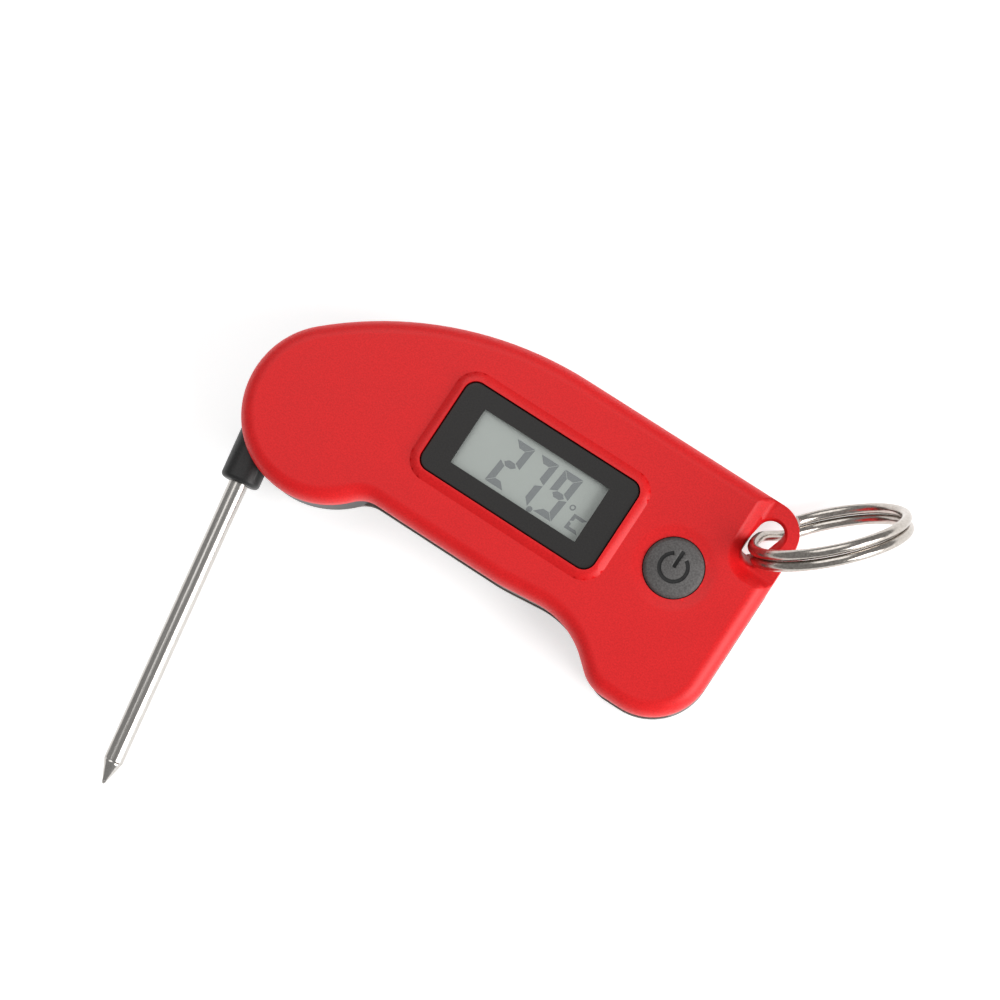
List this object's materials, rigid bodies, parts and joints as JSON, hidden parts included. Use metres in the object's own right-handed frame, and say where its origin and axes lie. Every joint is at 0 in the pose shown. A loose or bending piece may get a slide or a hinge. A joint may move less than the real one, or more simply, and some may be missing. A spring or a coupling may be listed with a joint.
{
  "type": "folding probe thermometer",
  "caption": "Folding digital meat thermometer: a flat case with a display and a power button, a probe that swings out of its round end, and a split ring in its corner.",
  "frame": {"origin": "on the probe's pivot axis, in the plane of the back face", "axes": "+Z out of the display face, +X along the case from the pivot end to the ring's end, +Y towards the crowned top edge"},
  "size_m": [0.1279, 0.1317, 0.0314],
  "materials": {
    "red_abs": "fine-textured moulded ABS, red",
    "dark_grey_abs": "fine-textured moulded ABS, dark grey",
    "bezel_plastic": "satin moulded plastic, charcoal",
    "lens_acrylic": "clear acrylic",
    "lcd_glass": "grey-green display glass",
    "connector_rubber": "conductive silicone strip",
    "board_laminate": "green solder mask",
    "chip_plastic": "black moulding compound",
    "wire_insulation": "thin insulation",
    "plunger_plastic": "moulded nylon",
    "button_rubber": "grey silicone rubber",
    "cell_steel": "nickel-plated steel",
    "contact_metal": "nickel-plated spring steel",
    "seal_rubber": "black silicone",
    "screw_steel": "zinc-plated steel",
    "bush_brass": "turned brass",
    "washer_nylon": "white nylon",
    "collar_abs": "fine-textured moulded ABS, black",
    "probe_steel": "drawn stainless steel",
    "bead_ceramic": "epoxy bead",
    "ring_steel": "polished nickel-plated spring steel"
  },
  "bodies": {
    "root": {"front_cover": "red_abs", "back_cover": "dark_grey_abs", "middle_frame": "dark_grey_abs", "display_bezel": "bezel_plastic", "display_lens": "lens_acrylic", "lcd_panel": "lcd_glass", "lcd_connector_strips": "connector_rubber", "circuit_board": "board_laminate", "board_chip": "chip_plastic", "switch_body": "chip_plastic", "board_wires": "wire_insulation", "battery": "cell_steel", "battery_contact_minus": "contact_metal", "battery_contact_plus": "contact_metal", "housing_screws": "screw_steel", "pivot_screw": "screw_steel", "pivot_bush": "bush_brass", "friction_washers": "washer_nylon"},
    "probe": {"probe_arm": "collar_abs", "hub_seals": "seal_rubber", "probe_tube": "probe_steel", "probe_tip": "probe_steel", "sensor_bead": "bead_ceramic", "sensor_wires": "wire_insulation"},
    "button": {"power_button": "button_rubber"},
    "plunger": {"switch_plunger": "plunger_plastic"},
    "door": {"battery_door": "dark_grey_abs", "battery_door_seal": "seal_rubber"},
    "ring": {"split_ring": "ring_steel"}
  },
  "joints": [
    {"name": "probe_fold", "type": "hinge", "parent": "root", "child": "probe", "pos_m": [0, 0, 0.0085], "axis": [0, 0, 1], "range_deg": [-99.5, 80.5]},
    {"name": "power_button_press", "type": "slide", "parent": "root", "child": "button", "axis": [0, 0, -1], "range_m": [0, 0.00045], "stiffness_N_per_m": 1500},
    {"name": "switch_plunger_press", "type": "slide", "parent": "root", "child": "plunger", "axis": [0, 0, -1], "range_m": [0, 0.00045]},
    {"name": "battery_door_turn", "type": "hinge", "parent": "root", "child": "door", "pos_m": [0.045, 0.011, 0], "axis": [0, 0, 1], "range_deg": [0, 40]},
    {"name": "ring_swing", "type": "hinge", "parent": "root", "child": "ring", "pos_m": [0.0852, 0.0241, 0.0112], "axis": [0.0988, -0.4447, 0.8902], "range_deg": [-20, 45]}
  ],
  "couplings": [
    {"joint": "switch_plunger_press", "follows": "power_button_press", "ratio": 1}
  ]
}
